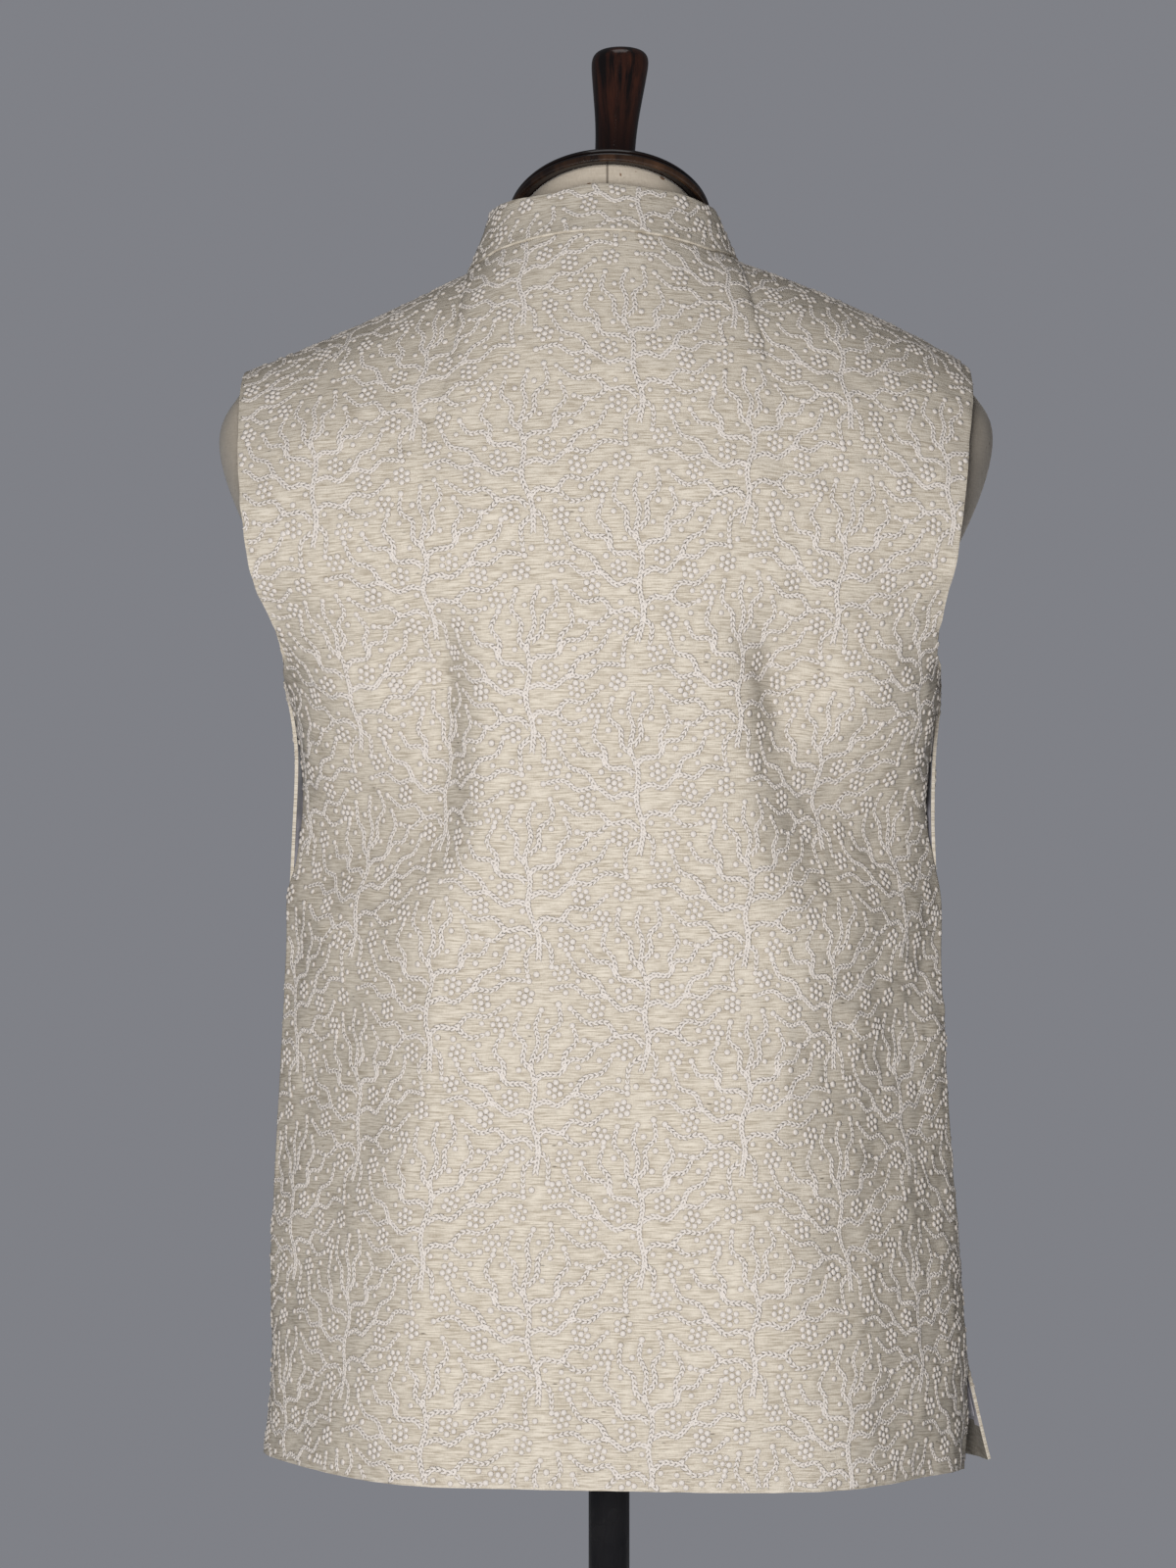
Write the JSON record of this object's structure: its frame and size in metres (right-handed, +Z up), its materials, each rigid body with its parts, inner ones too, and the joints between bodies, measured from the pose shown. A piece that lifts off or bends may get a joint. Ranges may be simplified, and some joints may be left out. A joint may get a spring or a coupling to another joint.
{
  "type": "waistcoat on a limbless dress form",
  "caption": "Sleeveless stand-collar waistcoat, buttoned up with open side vents, worn by a limbless dress form on a pole stand.",
  "frame": {"origin": "on the floor, at the centre of the stand's round underside", "axes": "+Z up, +X to the wearer's right, +Y to the wearer's front, so the back of the garment faces -Y"},
  "size_m": [0.456, 0.38, 1.5882],
  "materials": {
    "cloth": "slubbed ivory linen and silk weave with raised off-white chain-stitch embroidery",
    "lining": "smooth white satin weave",
    "button": "polished ivory, with a raised rim and a sunk middle",
    "form_linen": "stretched natural linen cover with a sewn centre-back seam",
    "form_wood": "very dark red-brown wood under gloss varnish",
    "stand_metal": "black gloss paint"
  },
  "bodies": {
    "root": {"back": "cloth", "front_left": "cloth", "front_right": "cloth", "collar": "cloth", "lining_left": "lining", "lining_right": "lining", "button_1": "button", "button_2": "button", "button_3": "button", "button_4": "button", "button_5": "button", "form_torso": "form_linen", "neck_cap": "form_wood", "finial": "form_wood", "pole": "stand_metal", "pole_socket": "stand_metal", "stand_base": "stand_metal"}
  },
  "joints": []
}
